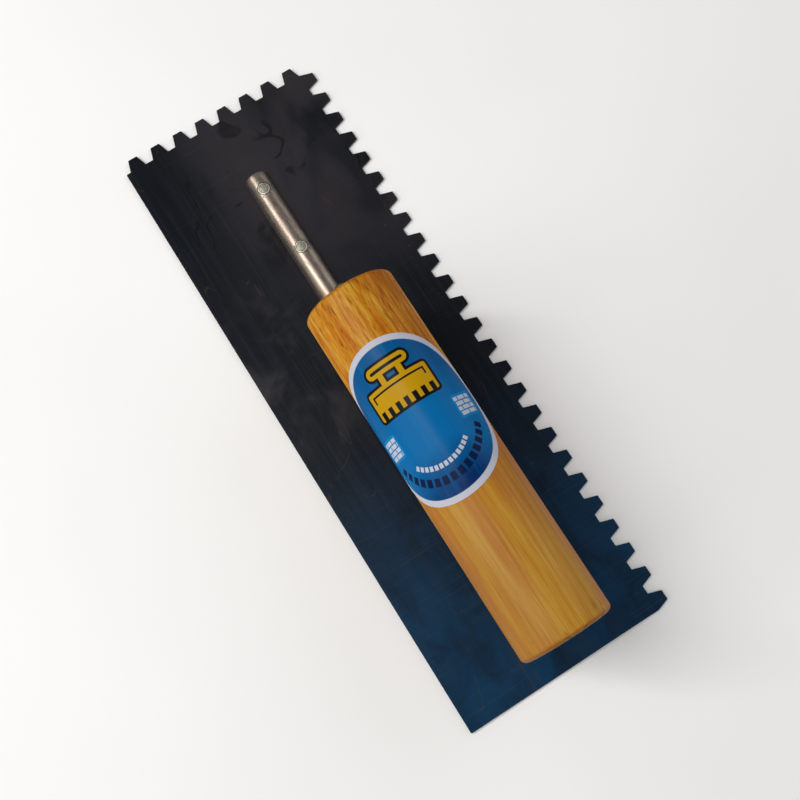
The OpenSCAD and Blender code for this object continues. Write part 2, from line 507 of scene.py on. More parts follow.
def rivet_finish(tones):
    """Ground rivet heads: pale grey-green, pitted, with a brighter rim and a dark seam."""
    look = Finish("ground_rivet_steel", Metallic=0.7)
    reach = look.add("ShaderNodeAttribute", {"attribute_name": "reach"}, None, "Fac")
    mottle = look.grain(0.7, 5.0, 0.7, 0.6)
    swirl = look.grain(2.2, 2.0, 0.5, 0.8)
    crack = abs(swirl - 0.5).rise(0.03, 0.008) * reach.rise(0.35, 0.75)
    groove = reach.rise(0.62, 0.7) * reach.rise(0.79, 0.73) * (0.45 + 0.55 * swirl.rise(0.4, 0.55))
    rim = reach.rise(0.76, 0.84) * reach.rise(0.95, 0.9)
    seam = reach.rise(0.94, 0.97)
    color = look.layers(
        tones.rivet_dark,
        (mottle.rise(0.3, 0.7), tones.rivet),
        (rim * 0.75, tones.rivet_rim),
        ((crack * 0.8 + groove * 0.6 + seam * 0.9).clamped(), tones.rivet_seam),
    )
    rough = 0.42 + 0.2 * mottle
    relief = mottle - crack * 1.5 - groove + rim * 0.8 - seam
    look.feed(Base_Color=color, Roughness=rough, Normal=look.bump(relief, 0.5, 0.03 * MM))
    return look.material


def wood_finish(tones):
    """Straight-grained wood under an amber varnish: wavy streaks in front, finer lines behind."""
    look = Finish("varnished_wood", Coat_Roughness=0.36, Coat_IOR=1.5, Specular_IOR_Level=0.0)
    pith_x = -46.0
    pith_z = 18.0
    ring_width = 2.6
    x, y, z = look.split(look.place(shift=(0.0, -HANDLE_MID.y / MM, -HANDLE_MID.z / MM)))
    half = (HANDLE_HIGH.y - HANDLE_LOW.y) / MM / 2
    from_middle = abs(y)
    front = y.rise(-5.0, 45.0)
    wobble = look.grain(6.0, 2.0, 0.5, pull=0.05)
    out_x = x - pith_x
    out_z = z - pith_z
    phase = (((out_x * out_x + out_z * out_z).root() + wobble * 3.0) / ring_width) % 1.0
    late = phase.rise(0.2, 0.85) * phase.rise(1.0, 0.9)
    fibres = look.grain(0.3, 4.0, 0.75, pull=0.016)
    threads = look.grain(1.0, 4.0, 0.7, pull=0.03, shift=(2.0, 3.0, 4.0))
    streaks = look.grain(3.0, 5.0, 0.68, 0.8, pull=0.15, shift=(5.0, 9.0, 0.0))
    fine = look.grain(0.9, 4.0, 0.7, 0.5, pull=0.1, shift=(5.0, 29.0, 7.0))
    broad = look.grain(10.0, 3.0, 0.5, 0.5, pull=0.07, shift=(0.0, 40.0, 11.0))
    tone = 0.36 * fibres + 0.26 * threads + 0.03 * late + 0.5 * broad - 0.11
    wavy = (streaks - 0.5) * 0.85 + (fine - 0.5) * 0.45
    # Painted shade: the tone deepens towards the right side, most in the front half
    tone = tone + front * wavy + x.rise(-9.0, 11.0) * (0.03 + 0.1 * y.rise(-60.0, 10.0)) - 0.05
    grain = look.ramp(
        tone,
        (0.3, tones.wood_pale),
        (0.46, tones.wood),
        (0.6, tones.wood_deep),
        (0.8, tones.wood_dark),
    )
    cells = look.grain(0.8, 2.0, 0.5, 0.3, pull=0.14)
    gate = look.grain(7.0, 2.0, 0.5, pull=0.25, shift=(17.0, 0.0, 0.0))
    fleck = cells.rise(0.61, 0.7) * gate.rise(0.4, 0.54) * (0.12 + 0.88 * front)
    # Painted shade: the rear half darker, more so on its left side
    shade = y.rise(30.0, -40.0) * (0.15 + 0.15 * x.rise(8.0, -12.0))
    # Darker rims at both ends, worn smudges near them, and the sawn ends
    edge = from_middle.rise(half - 1.9, half - 0.5)
    smudge = look.grain(3.0, 3.0, 0.6, pull=0.3, shift=(0.0, 5.0, 0.0))
    worn = from_middle.rise(half - 11.5, half - 1.5) * smudge.rise(0.56, 0.68) * 0.5
    sawn = from_middle.rise(half - 0.3, half - 0.1)
    pores = look.grain(0.4, 3.0, 0.7, pull=0.1)
    end_tone = 0.3 * pores + 0.25 * late + 0.45 * smudge
    color = look.layers(
        grain,
        (fleck * 0.75, tones.wood_fleck),
        (shade, tones.wood_shade),
        ((edge * 0.55 + worn).clamped(), tones.wood_dark),
        (sawn, look.ramp(end_tone, (0.25, tones.wood_end), (0.75, tones.wood_dark))),
    )
    rough = 0.42 + 0.14 * fibres
    relief = fibres * 0.3 + threads * 0.3 - fleck * 0.8 + broad * 0.6
    look.feed(Base_Color=color, Roughness=rough, Coat_Weight=0.2 + 0.3 * y.rise(20.0, -30.0),
              Normal=look.bump(relief, 0.22, 0.03 * MM))
    return look.material


class Print:
    """Shapes on the label, as distances in millimetres: below 0 is inside."""

    def __init__(self, graph, x, y):
        self.graph = graph
        self.x = x
        self.y = y

    def box(self, cx, cy, half_x, half_y, corner):
        """A box with rounded corners."""
        dx = abs(self.x - cx) - (half_x - corner)
        dy = abs(self.y - cy) - (half_y - corner)
        outside = (dx.most(0.0) ** 2.0 + dy.most(0.0) ** 2.0).root()
        return outside + dx.most(dy).least(0.0) - corner

    def bricks(self, cx, cy, half_x, half_y, course):
        """Courses of bricks, each shifted by half a brick, inside a box."""
        rows = (self.y - cy + half_y) / course
        shift = (rows.floor() % 2.0) * 0.5
        along = abs(((self.x - cx + half_x) / (2.0 * course) + shift) % 1.0 - 0.5) * 2.0 * course
        up = abs(rows % 1.0 - 0.5) * course
        joint = (along - course).most(up - course / 2) + 0.24
        return joint.most(self.box(cx, cy, half_x, half_y, 0.2))

    def comb(self, top, half_width, pitch, slot):
        """Square notches cut upwards from below, as far as top."""
        beat = abs((self.x / pitch) % 1.0 - 0.5) * pitch
        return (slot / 2 - beat).most(self.y - top).most(abs(self.x) - half_width)

    def trowel(self):
        """The sign: a notched plate with its grip on two posts, and the line drawn inside it."""
        grip_y = 8.4
        plate = self.box(0.0, -1.5, 11.5, 5.0, 0.8)
        notches = self.comb(-3.6, 10.6, 3.2, 1.5)
        grip = self.box(0.0, grip_y, 7.6, 1.9, 1.9)
        posts = self.box(-3.4, 5.2, 1.0, 2.4, 0.2).least(self.box(3.4, 5.2, 1.0, 2.4, 0.2))
        body = plate.most(-notches).least(grip).least(posts)
        in_grip = abs(self.y - grip_y).most(abs(self.x) - 5.6)
        return body, abs(body + 1.7).most(-(self.y + 0.2)).least(in_grip)


def label_finish(tones, length, width):
    """Printed film: pale border, blue field, a notched-trowel sign, brickwork and rows of tiles."""
    look = Finish("printed_film", Roughness=0.5, Specular_IOR_Level=0.0, Coat_Weight=0.14,
                  Coat_Roughness=0.3)
    field_half_width = 26.4
    field_half_length = 29.2
    sign_x = 0.6
    sign_y = 12.6
    sign_scale = 1.08
    # Rows of tiles: radius, half width, step and end of the row in degrees, colour
    tile_rows = ((17.2, 0.85, 6.0, 39.0, tones.border), (22.0, 1.45, 8.0, 60.0, tones.tile))
    u, v = look.split(look.add("ShaderNodeUVMap", {"uv_map": "print"}))[:2]
    x = (u - 0.5) * (width / MM)
    y = (v - 0.5) * (length / MM)
    reach = ((x / field_half_width) ** 2.0 + (y / field_half_length) ** 2.0).root()
    streak = look.grain(2.2, 2.0, 0.5, pull=0.02)
    cloud = look.grain(16.0, 2.0, 0.5)
    # The print's blue field, with a painted reflection: brightest in the middle, darker towards the
    # ends, most at the rear
    field = look.ramp(
        y / 58.0 + 0.5 + (cloud - 0.5) * 0.3 + abs(x) * 0.006,
        (0.04, tones.field_rear),
        (0.36, tones.field),
        (0.55, tones.field),
        (0.9, tones.field_front),
    )
    body, line = Print(look, (x - sign_x) / sign_scale, (y - sign_y) / sign_scale).trowel()
    color = look.layers(
        field,
        # Painted sheen: paler lengthwise streaks
        (streak.rise(0.52, 0.8) * 0.3, tones.field_streak),
        (body.rise(1.05, 0.85), tones.outline),
        (body.rise(0.1, -0.1), tones.sign),
        (line.rise(0.4, 0.25), tones.outline),
    )
    for middle in (-16.2, 18.6):
        wall = Print(look, x, y).bricks(middle, -3.6, 4.1, 3.8, 1.9)
        color = look.layers(
            color,
            (wall.rise(0.9, 0.6), tones.field_streak),
            (wall.rise(0.08, -0.08), tones.border),
        )
    ring = reach * ((field_half_width + field_half_length) / 2)
    angle = look.math("ARCTAN2", x, -y) * (180 / math.pi)
    for radius, half, step, last, tone in tile_rows:
        tile = abs((angle / step + 0.5) % 1.0 - 0.5).rise(0.36, 0.33)
        row = abs(ring - radius).rise(half + 0.1, half - 0.1)
        color = look.mix(tile * row * (abs(angle) < last), color, tone)
    color = look.mix(reach.rise(0.995, 1.005), color, tones.border)
    look.feed(Base_Color=color, Normal=look.bump(cloud + streak * 0.3, 0.12, 0.1 * MM))
    return look.material


def floor_finish(color, haze_color):
    """A pale, faintly uneven studio floor."""
    look = Finish("studio_floor", Roughness=0.85, Specular_IOR_Level=0.1)
    cloud = look.grain(220.0, 3.0, 0.5)
    dust = look.grain(2.0, 2.0, 0.5)
    shade = look.mix(cloud.rise(0.3, 0.7) * 0.5, color, haze_color)
    look.feed(Base_Color=shade, Normal=look.bump(dust, 0.05, 0.05 * MM))
    return look.material


# ---------- Settings that a user would change ----------

def length_setting(name, text, default):
    return FloatProperty(name=name, description=text, default=default, min=0.0,
                         unit="LENGTH", precision=5)


def color_setting(name, text, code):
    return FloatVectorProperty(name=name, description=text, default=srgb(code), size=4,
                               subtype="COLOR", min=0.0, max=1.0)


class TrowelSizes(bpy.types.PropertyGroup):
    """Sizes of the trowel's own details. Overall sizes come from the frame."""

    tooth_pitch: length_setting("Tooth pitch", "From one tooth to the next", 10.73 * MM)
    tooth_tip: length_setting("Tooth tip", "Width of a tooth at its tip", 4.0 * MM)
    notch_depth: length_setting("Notch depth", "Depth of the notches", 5.2 * MM)
    flank_run: length_setting("Flank run", "How far a tooth's flank leans over its depth", 1.638 * MM)
    corner_flat: length_setting("Corner flat", "Flat between the two rows of teeth", 0.4 * MM)
    tooth_rounding: length_setting("Tooth rounding", "Radius of the teeth's corners", 0.3 * MM)
    sheet_edge: length_setting("Sheet edge", "Width of the broken edge of the sheet", 0.1 * MM)
    long_teeth: IntProperty(name="Long row", description="Teeth along the long side",
                            default=25, min=1)
    short_teeth: IntProperty(name="Short row", description="Teeth along the short end",
                             default=8, min=1)
    bar_end_rounding: length_setting("Bar end rounding", "Rounding of the bar's ends", 0.45 * MM)
    hole_radius: length_setting("Hole radius", "Radius of the fixing holes", 2.75 * MM)
    head_radius: length_setting("Head radius", "Radius of the rivets' flush heads", 2.65 * MM)
    shank_radius: length_setting("Shank radius", "Radius of the rivets' shanks", 2.0 * MM)
    head_height: length_setting("Head height", "Height of a rivet's head", 1.2 * MM)
    foot_radius: length_setting("Foot radius", "Radius of the neck at its foot", 3.99 * MM)
    neck_radius: length_setting("Neck radius", "Radius of the neck at its bend", 3.5 * MM)
    tang_radius: length_setting("Tang radius", "Radius of the tang in the handle", 3.25 * MM)
    bend_radius: length_setting("Bend radius", "Bend radius of the neck", 5.5 * MM)
    bend_sink: length_setting("Bend sink", "How far the bend reaches into the handle", 1.6 * MM)
    handle_rounding: length_setting("Handle rounding", "Rounding of the handle's edges", 2.0 * MM)
    label_length: length_setting("Label length", "Length of the label along the handle", 63.0 * MM)
    label_width: length_setting("Label width", "Width of the label round the handle", 57.5 * MM)
    label_gap: length_setting("Label gap", "Glue under the label", 0.04 * MM)
    label_film: length_setting("Label film", "Thickness of the label", 0.11 * MM)
    label_front: length_setting("Label front", "From the handle's front face to the label",
                                23.4 * MM)
    label_roll: FloatProperty(name="Label roll", description="Roll of the label round the handle",
                              default=math.radians(-15.0), subtype="ANGLE")


class TrowelTones(bpy.types.PropertyGroup):
    """Colours of the finishes."""

    blade: color_setting("Blade", "Blued steel", "0d1218")
    blade_haze: color_setting("Blade haze", "Slightly paler clouds", "12151d")
    # Painted sheen, laid in front and beside the handle
    blade_warm: color_setting("Blade front", "Painted sheen in front and beside the handle", "383437")
    # Painted blue reflection at the rear of the blade
    blade_rear: color_setting("Blade rear", "Painted blue reflection at the rear", "0d3a5a")
    # Painted reflection in the crosswise hatching
    blade_line: color_setting("Rolling lines", "Paler rolling lines", "2b2f37")
    blade_hatch: color_setting("Hatching", "Painted glare in fine crosswise hatching", "3a4d5a")
    blade_stain: color_setting("Blade stain", "Dark oily rings", "050608")
    scratch: color_setting("Scratches", "Brownish scratches", "45352f")
    rust: color_setting("Rust", "Rust specks", "7a5338")
    bar: color_setting("Bar", "Bare steel", "93877b")
    bar_dark: color_setting("Bar mottle", "Darker bare steel", "75685f")
    bar_stain: color_setting("Bar stain", "Brownish stain", "7e6d60")
    pit: color_setting("Pits", "Pits, scratches and chips in bare steel", "2f2823")
    rivet: color_setting("Rivet", "Ground rivet heads", "b3b0a0")
    rivet_dark: color_setting("Rivet mottle", "Darker rivet steel", "7c7a6c")
    rivet_rim: color_setting("Rivet rim", "Bright rim of a rivet head", "d6d2c4")
    rivet_seam: color_setting("Rivet seam", "Dark seam round a rivet head", "3a342b")
    neck: color_setting("Neck", "Forged steel", "7d736a")
    neck_dark: color_setting("Neck scale", "Dark forge scale", "3d3834")
    wood_pale: color_setting("Pale wood", "Pale grain", "c89a38")
    wood: color_setting("Wood", "Main colour of the varnished wood", "b77616")
    wood_deep: color_setting("Deep wood", "Orange-brown streaks", "a65a0a")
    wood_dark: color_setting("Dark wood", "Darkest streaks and ends", "783d07")
    wood_end: color_setting("End grain", "Sawn ends of the handle", "ad7a35")
    wood_fleck: color_setting("Flecks", "Dark flecks", "602f0a")
    # Painted shade over the rear half
    wood_shade: color_setting("Rear wood", "Painted shade over the rear half", "4a3010")
    # The field's blue, with the painted reflection brightest here in its middle
    field: color_setting("Label field", "Middle of the label's field", "04639e")
    field_front: color_setting("Label front", "Field towards the front", "045086")
    field_rear: color_setting("Label rear", "Field towards the rear", "02265a")
    # Painted sheen in the field's streaks, and the print's paler blue round the brickwork
    field_streak: color_setting("Label sheen", "Painted sheen in streaks, and pale print round the bricks", "0577b4")
    border: color_setting("Label border", "Pale border of the label", "b9bac4")
    sign: color_setting("Label sign", "Sign on the label", "b88c07")
    outline: color_setting("Outline", "Dark outline of the sign", "0b0d10")
    tile: color_setting("Label tiles", "Dark row of tiles", "06183c")


class TrowelStage(bpy.types.PropertyGroup):
    """Floor, light and camera."""

    floor_color: color_setting("Floor", "Pale studio floor", "fbfaf8")
    floor_haze_color: color_setting("Floor haze", "Faint clouds on the floor", "f1f0ee")
    floor_size: length_setting("Floor size", "Length of the floor's sides", 8.0)
    sky: FloatProperty(name="Sky", description="Strength of the even light", default=0.36, min=0.0)
    key: FloatProperty(name="Key light", description="Power of the main soft light, in watts",
                       default=6.4, min=0.0)
    fill: FloatProperty(name="Fill lights", description="Power of each side light, in watts",
                        default=6.0, min=0.0)
    lens: FloatProperty(name="Lens", description="Focal length, in millimetres", default=49.24,
                        min=1.0)


# ---------- Blade ----------

# Points in the outline of one tooth
TOOTH_CORNERS = 4.0


def tooth_rule(tree, place, pitch):
    """Where a corner of a row of teeth lies: distance along the row, and out from its floor."""
    flank = tree.size("Flank run")
    tooth = (place / TOOTH_CORNERS).floor()
    corner = place - tooth * TOOTH_CORNERS
    past_first = corner > 0.5
    past_second = corner > 1.5
    past_third = corner > 2.5
    along = tooth * pitch + past_first * flank + past_second * tree.size("Tooth tip")
    out = (past_first - past_third) * tree.size("Notch depth")
    return along + past_third * flank, out


def blade_outline(tree):
    """The closed outline: two points of the plain edges, the short row, a corner, the long row."""
    length = tree.size("Length")
    width = tree.size("Width")
    pitch = tree.size("Tooth pitch")
    depth = tree.size("Notch depth")
    short = tree.size("Short teeth")
    many = tree.size("Long teeth")
    base = tree.size("Tooth tip") + 2.0 * tree.size("Flank run")
    front_floor = length / 2.0 - depth
    side_floor = width / 2.0 - depth
    corner_place = 2.0 + TOOTH_CORNERS * short
    ring = tree.ring(corner_place + 1.0 + TOOTH_CORNERS * many, 1.0)
    i = tree.index()
    first_end = i < 1.5
    at_corner = abs(i - corner_place) < 0.5
    in_long = i > corner_place + 0.5
    in_short = 1.0 - first_end - at_corner - in_long
    short_root = width - depth - tree.size("Corner flat") - base - (short - 1.0) * pitch
    long_root = length - base - (many - 1.0) * pitch
    along, out = tooth_rule(tree, i - 2.0, pitch)
    short_x = short_root + along - width / 2.0
    short_y = front_floor + out
    along, out = tooth_rule(tree, i - corner_place - 1.0, pitch)
    long_x = side_floor + out
    long_y = length / 2.0 - long_root - along
    start_y = (i < 0.5) * (-length / 2.0) + (i > 0.5) * front_floor
    x = first_end * (-width / 2.0) + in_short * short_x + at_corner * side_floor
    y = first_end * start_y + in_short * short_y + at_corner * front_floor
    placed = tree.place(ring, x + in_long * long_x, y + in_long * long_y, 0.0)
    return tree.add("GeometryNodeFilletCurve", {"mode": "POLY"}, {
        "Curve": placed, "Count": 3, "Radius": tree.size("Rounding"), "Limit Radius": True,
    })


def make_blade(sizes, tones):
    """The sheet: the area between its outline and the fixing holes, given the sheet's thickness."""
    tree = ShapeTree("blade_rule", {
        "Length": BLADE_HIGH.y - BLADE_LOW.y,
        "Width": BLADE_HIGH.x - BLADE_LOW.x,
        "Thickness": BLADE_HIGH.z - BLADE_LOW.z,
        "Tooth pitch": sizes.tooth_pitch,
        "Tooth tip": sizes.tooth_tip,
        "Flank run": sizes.flank_run,
        "Notch depth": sizes.notch_depth,
        "Corner flat": sizes.corner_flat,
        "Rounding": sizes.tooth_rounding,
        "Long teeth": sizes.long_teeth,
        "Short teeth": sizes.short_teeth,
        "Hole radius": sizes.hole_radius,
        **FIXING_ROW,
    })
    hole = tree.ring(40, tree.size("Hole radius"))
    outlines = tree.join(blade_outline(tree), tree.repeat(tree.row(), hole))
    sheet = tree.add("GeometryNodeFillCurve", {"mode": "NGONS"}, {0: outlines})
    raised = tree.add("GeometryNodeExtrudeMesh", {"mode": "FACES"}, {
        "Mesh": sheet,
        "Offset": tree.vector(0.0, 0.0, 1.0),
        "Offset Scale": tree.size("Thickness"),
        "Individual": False,
    })
    sole = tree.add("GeometryNodeFlipFaces", None, {0: sheet})
    shape = tree.merged(tree.join(sole, raised))
    piece = tree.grow("blade_sheet", shape, blade_finish(tones))
    soften(piece, sizes.sheet_edge, math.radians(50.0))
    settle(piece, 30.0, ["blade"])


# ---------- Bar ----------

DRILL_LENGTH = 20.0 * MM


def make_bar(sizes, tones):
    """The half-round bar: one section swept backwards, rounded at its ends, with its holes."""
    around = 64
    along = 160
    end_rings = 5.0
    tree = ShapeTree("half_round_rule", {
        "Front": BAR_HIGH.y,
        "Length": BAR_HIGH.y - BAR_LOW.y,
        "Base": BAR_LOW.z,
        "Crown radius": CROWN_RADIUS,
        "Crown axis": CROWN_AXIS_Z,
        "Half turn": math.asin(BAR_WIDTH / 2 / CROWN_RADIUS),
        "Rounding": sizes.bar_end_rounding,
        "Hole radius": sizes.hole_radius,
        **FIXING_ROW,
    })
    length = tree.size("Length")
    rounding = tree.size("Rounding")
    x, y, z = tree.position()
    turn = tree.math("ARCTAN2", y, x) / (2 * math.pi)
    step = (((turn + 0.5 + 0.5 / around) % 1.0) * around).floor()
    lean = tree.size("Half turn") * (step * (2.0 / (around - 1)) - 1.0)
    ring = (z + 0.5) * along
    from_end = ring.least(along - ring)
    near = (from_end / end_rings).least(1.0) * (math.pi / 2)
    stride = (length / 2.0 - rounding) / (along / 2 - end_rings)
    run = rounding * (1.0 - near.cos()) + (from_end - end_rings).most(0.0) * stride
    radius = tree.size("Crown radius") - rounding * (1.0 - near.sin())
    front_half = ring < along / 2 + 0.5
    path = front_half * run + (1.0 - front_half) * (length - run)
    height = tree.size("Crown axis") + radius * lean.cos()
    body = tree.place(tree.tube(around, along), -(radius * lean.sin()),
                      tree.size("Front") - path, height.most(tree.size("Base")))
    hole = tree.size("Hole radius")
    drill = tree.add("GeometryNodeTransform", None, {
        "Geometry": tree.tube(48, 1),
        "Scale": tree.vector(hole, hole, DRILL_LENGTH),
    })
    shape = tree.cut(body, tree.repeat(tree.row(), drill))
    finish = bare_steel("bare_bar_steel", tones.bar, tones.bar_dark, tones, 0.9, 0.27)
    piece = tree.grow("half_round_bar", tree.merged(shape), finish)
    settle(piece, 32.0, ["spine_bar"])


# ---------- Rivets ----------

def spool_rule(tree, x, y, height):
    """The two sides of a spool at this height: its shank, widened towards a head at each end."""
    shank = tree.size("Shank radius")
    flare = tree.size("Head radius") - shank
    head = tree.size("Head height")
    radius = shank + flare * (1.0 - (height - tree.size("Foot")) / head).clamped()
    radius = radius + flare * (2.0 - (tree.size("Top") - height) / head).clamped()
    return x * radius, y * radius


def make_rivets(sizes, tones):
    """The row of rivets, ground to follow the bar's crown. The neck's tenon takes one place."""
    tree = ShapeTree("rivet_row_rule", {
        "Neck place": NECK_PLACE,
        "Foot": HAIR,
        "Top": BAR_HIGH.z - HAIR,
        "Crown radius": CROWN_RADIUS,
        "Shank radius": sizes.shank_radius,
        "Head radius": sizes.head_radius,
        "Head height": sizes.head_height / 2,
        "Edge": 0.07 * MM,
        **FIXING_ROW,
    })
    x, y, z = tree.position()
    share = (x * x + y * y).root()
    level = z + 0.5
    foot = tree.size("Foot")
    height = foot + level * (tree.size("Top") - foot)
    x, y = spool_rule(tree, x, y, height)
    crown = tree.size("Crown radius")
    drop = crown - (crown * crown - x * x).root()
    edge = tree.size("Edge") * share.rise(0.86, 1.0) * (1.0 + 0.6 * share.rise(0.4, 1.0))
    marked = tree.add("GeometryNodeStoreNamedAttribute", {"data_type": "FLOAT", "domain": "POINT"}, {
        "Geometry": tree.tube(48, 24, 10, "TRIANGLE_FAN"), "Name": "reach", "Value": share,
    })
    shaped = tree.place(marked, x, y, height - level * (drop + edge) * level.rise(0.5, 1.0))
    chosen = abs(tree.index() - tree.size("Neck place")) > 0.5
    shape = tree.repeat(tree.row(), shaped, chosen)
    piece = tree.grow("rivet_row", shape, rivet_finish(tones))
    settle(piece, 40.0, RIVET_NODES)


# ---------- Neck ----------

# How quickly the rod's foot narrows with its height
FLARE_POWER = 2.2
# Where the rod narrows to its tang, in millimetres behind the foot
NARROWING = (13.5, 16.5)
# How far the tenon runs up into the rod
TENON_LAP = 1.5 * MM
CROWN_TOOL_LENGTH = 30.0 * MM


def neck_path(tree):
    """The rod's middle line: up from the bar, round the bend and straight back into the handle."""
    line = tree.add("GeometryNodeMeshLine", None, {"Count": 3})
    bare = tree.add("GeometryNodeMeshToCurve", None, {0: line})
    i = tree.index()
    start = i < 0.5
    middle = abs(i - 1.0) < 0.5
    last = i > 1.5
    foot = tree.size("Foot")
    axis = tree.size("Axis height")
    slope = tree.size("Lean")
    sink = tree.size("Sink")
    corner_y = foot - (axis - tree.size("Foot height")) * slope
    path_y = start * (foot + sink * slope) + middle * corner_y + last * tree.size("Tang end")
    low = tree.size("Foot height") - sink
    path = tree.place(bare, 0.0, path_y, start * low + (1.0 - start) * axis)
    bent = tree.add("GeometryNodeFilletCurve", {"mode": "POLY"},
                    {"Curve": path, "Count": 18, "Radius": tree.size("Bend radius")})
    return tree.add("GeometryNodeResampleCurve", {"mode": "LENGTH"},
                    {"Curve": bent, "Length": 0.7 * MM})


def neck_radius(tree):
    """The rod's radius along its path: widest at the foot, slimmer in the handle."""
    y, z = tree.position()[1:]
    foot_height = tree.size("Foot height")
    neck = tree.size("Neck radius")
    up = ((z - foot_height) / (tree.size("Axis height") - foot_height)).clamped()
    flared = neck + (1.0 - up) ** FLARE_POWER * (tree.size("Foot radius") - neck)
    into = ((tree.size("Foot") - y) / MM).rise(*NARROWING)
    return flared - into * (neck - tree.size("Tang radius"))


def neck_tenon(tree):
    """The peened tenon that runs down through the bar and the blade."""
    x, y, z = tree.position()
    height = tree.size("Tenon foot") + (z + 0.5) * (tree.size("Foot height") + TENON_LAP)
    shank = tree.size("Shank radius")
    spread = (1.0 - height / tree.size("Head height")).clamped()
    wide = shank + spread * (tree.size("Head radius") - shank)
    return tree.place(tree.tube(48, 16), x * wide, y * wide + tree.size("Foot"), height)


def make_neck(sizes, tones):
    """The forged neck: a rod that rises from the bar, bends and runs into the handle."""
    foot_y = FIRST_FIXING_Y - NECK_PLACE * FIXING_PITCH
    rise = HANDLE_MID.z - BAR_HIGH.z - sizes.bend_radius
    run = foot_y - (HANDLE_HIGH.y - sizes.bend_sink)
    lean = math.acos(sizes.bend_radius / math.hypot(run, rise)) - math.atan2(rise, run)
    tree = ShapeTree("neck_rule", {
        "Foot": foot_y,
        "Foot height": BAR_HIGH.z,
        "Axis height": HANDLE_MID.z,
        "Lean": math.tan(lean),
        "Tang end": TANG_END_Y + 0.1 * MM,
        "Bend radius": sizes.bend_radius,
        "Foot radius": sizes.foot_radius,
        "Neck radius": sizes.neck_radius,
        "Tang radius": sizes.tang_radius,
        "Sink": 2.6 * MM,
        "Crown radius": CROWN_RADIUS + HAIR,
        "Crown axis": CROWN_AXIS_Z,
        "Shank radius": sizes.shank_radius,
        "Head radius": sizes.head_radius,
        "Head height": sizes.head_height,
        "Tenon foot": HAIR,
    })
    rod = tree.add("GeometryNodeCurveToMesh", None, {
        "Curve": neck_path(tree), "Profile Curve": tree.ring(48, 1.0), "Scale": neck_radius(tree),
        "Fill Caps": True,
    })
    crown_radius = tree.size("Crown radius")
    crown = tree.add("GeometryNodeTransform", None, {
        "Geometry": tree.tube(128, 1),
        "Translation": tree.vector(0.0, tree.size("Foot"), tree.size("Crown axis")),
        "Rotation": (math.pi / 2, 0.0, 0.0),
        "Scale": tree.vector(crown_radius, crown_radius, CROWN_TOOL_LENGTH),
    })
    shape = tree.fuse(tree.cut(rod, crown), neck_tenon(tree))
    finish = bare_steel("forged_neck_steel", tones.neck, tones.neck_dark, tones, 1.6, 0.38)
    piece = tree.grow("forged_neck", tree.merged(shape), finish)
    settle(piece, 35.0, ["neck"])


# ---------- Handle ----------

# Radii of the rings of points across an end face, in millimetres
FACE_RINGS = (3.0, 6.0, 9.0, 12.0, 14.5)


def on_handle(work, radius, turn, y):
    """A new point round the handle's axis, turned away from the top."""
    return work.verts.new((HANDLE_MID.x + radius * math.sin(turn), y,
                           HANDLE_MID.z + radius * math.cos(turn)))


def handle_section(sizes):
    """Points (radius, distance back from the front face) round half of the handle's section."""
    length = HANDLE_HIGH.y - HANDLE_LOW.y
    rounding = sizes.handle_rounding
    chamfer = 0.25 * MM
    mouth = 4.0 * MM
    mouth_depth = 3.0 * MM
    bore = sizes.tang_radius + 0.1 * MM
    bore_end = HANDLE_HIGH.y - TANG_END_Y + 0.3 * MM
    corner = HANDLE_RADIUS - rounding
    quarter = [math.pi / 2 * i / 8 for i in range(9)]
    rings = 44
    points = [(0.0, bore_end), (bore, bore_end), (bore, mouth_depth + 0.2 * MM), (mouth, mouth_depth),
              (mouth, chamfer), (mouth + chamfer, 0.0)]
    points += [(radius * MM, 0.0) for radius in FACE_RINGS[1:]]
    points += [(corner + rounding * math.sin(turn), rounding - rounding * math.cos(turn))
               for turn in quarter]
    for i in range(1, rings):
        back = rounding + (length - 2 * rounding) * i / rings
        points.append((HANDLE_RADIUS - turning_marks(back / MM), back))
    points += [(corner + rounding * math.cos(turn), length - rounding + rounding * math.sin(turn))
               for turn in quarter]
    points += [(radius * MM, length) for radius in reversed(FACE_RINGS)]
    return points + [(0.0, length)]


def turning_marks(back):
    """The slight hollows of the turned wood, by the distance back in millimetres."""
    return 0.012 * MM * (1 - math.cos(back * 0.31)) * math.sin(back * 0.047) ** 2


def make_handle(sizes, tones):
    """The turned handle, with the bored mouth that takes the neck."""
    around = 144
    work = bmesh.new()
    rings = []
    for radius, back in handle_section(sizes):
        count = 1 if radius == 0.0 else around
        turns = [2 * math.pi * k / around for k in range(count)]
        rings.append([on_handle(work, radius, turn, HANDLE_HIGH.y - back) for turn in turns])
    for a, b in zip(rings, rings[1:]):
        skin(work, a, b)
    bmesh.ops.recalc_face_normals(work, faces=work.faces)
    piece = piece_from(work, "turned_handle", wood_finish(tones))
    settle(piece, 40.0, ["handle"])


# ---------- Label ----------

